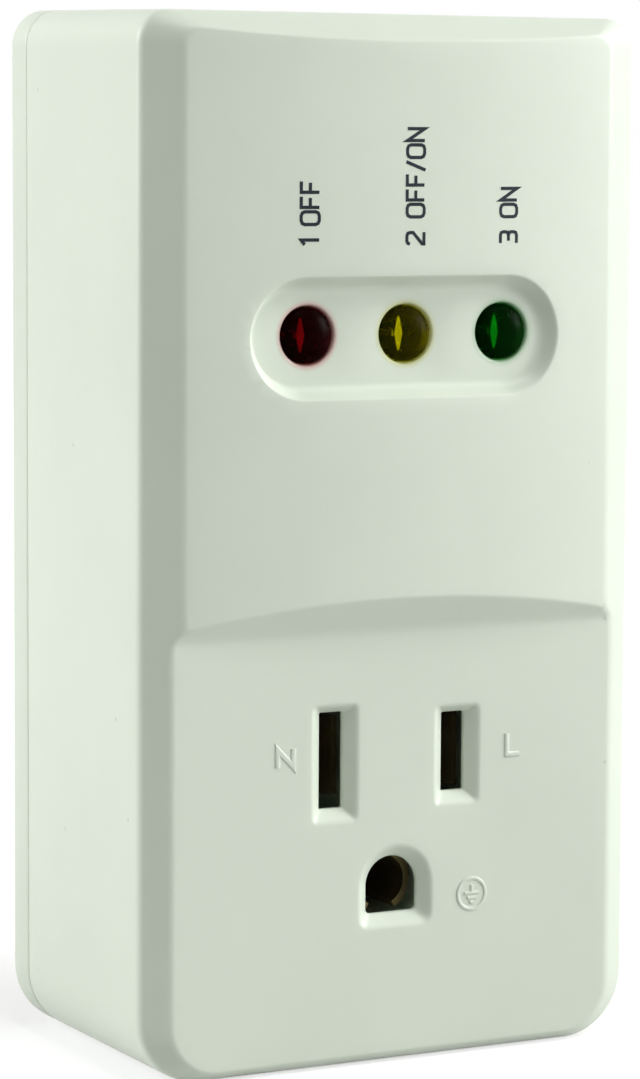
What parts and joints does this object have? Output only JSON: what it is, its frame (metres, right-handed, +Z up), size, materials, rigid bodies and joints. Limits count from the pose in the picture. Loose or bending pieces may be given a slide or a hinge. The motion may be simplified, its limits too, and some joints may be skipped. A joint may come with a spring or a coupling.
{
  "type": "appliance voltage protector",
  "caption": "Plug-in voltage protector: tall box with a crowned, bevelled front, lamps in a long recess, a grounded outlet below and plug blades behind",
  "frame": {"origin": "centre of the whole part's box in X and Y, at the height of the foot (Z 0)", "axes": "+X to the viewer's right when the front is seen, +Y from the front to the wall, +Z up"},
  "size_m": [0.0508, 0.0528, 0.0962],
  "materials": {
    "body_plastic": "satin moulded ABS",
    "zinc_steel": "zinc plated",
    "board_laminate": "solder mask",
    "red_lens": "tinted clear epoxy, unlit",
    "yellow_lens": "tinted clear epoxy, unlit",
    "green_lens": "tinted clear epoxy, unlit",
    "tinned_wire": "tinned",
    "contact_brass": "stamped",
    "blade_brass": "drawn and tumbled",
    "dark_plastic": "moulded",
    "relay_blue": "moulded",
    "relay_iron": "nickel plated",
    "bobbin_nylon": "moulded",
    "coil_copper": "enamelled winding",
    "spring_bronze": "rolled strip",
    "contact_silver": "silver alloy",
    "film_yellow": "epoxy filled box",
    "can_sleeve": "shrink sleeve",
    "disc_coating": "dipped epoxy",
    "diode_epoxy": "moulded",
    "resistor_paint": "lacquered",
    "white_sheath": "vinyl",
    "black_sheath": "vinyl",
    "green_sheath": "vinyl"
  },
  "bodies": {
    "housing": {"front_cover": "body_plastic", "back_cover": "body_plastic", "cover_screws": "zinc_steel", "circuit_board": "board_laminate", "board_screws": "zinc_steel", "led_red": "red_lens", "led_yellow": "yellow_lens", "led_green": "green_lens", "led_leads": "tinned_wire", "neutral_contact": "contact_brass", "line_contact": "contact_brass", "ground_contact": "contact_brass", "contact_carrier": "dark_plastic", "carrier_screws": "zinc_steel", "neutral_blade": "blade_brass", "line_blade": "blade_brass", "ground_pin": "blade_brass", "blade_clamp": "dark_plastic", "clamp_screws": "zinc_steel", "relay_base": "dark_plastic", "relay_cover": "relay_blue", "relay_yoke": "relay_iron", "relay_core": "relay_iron", "relay_bobbin": "bobbin_nylon", "relay_coil": "coil_copper", "relay_fixed_contact": "contact_silver", "relay_terminals": "tinned_wire", "film_capacitor": "film_yellow", "electrolytic_capacitor": "can_sleeve", "varistor": "disc_coating", "rectifier_diodes": "diode_epoxy", "resistors": "resistor_paint", "control_chip": "dark_plastic", "neutral_wire": "white_sheath", "supply_wire": "black_sheath", "load_wire": "black_sheath", "ground_wire": "green_sheath"},
    "armature": {"relay_armature": "relay_iron", "relay_contact_spring": "spring_bronze", "relay_moving_contact": "contact_silver"}
  },
  "joints": [
    {"name": "armature_hinge", "type": "hinge", "parent": "housing", "child": "armature", "pos_m": [-0.011, -0.00265, 0.0755], "axis": [0, 0, 1], "range_deg": [-4, 0], "stiffness_Nm_per_rad": 0.004, "springref_deg": 1.15}
  ]
}
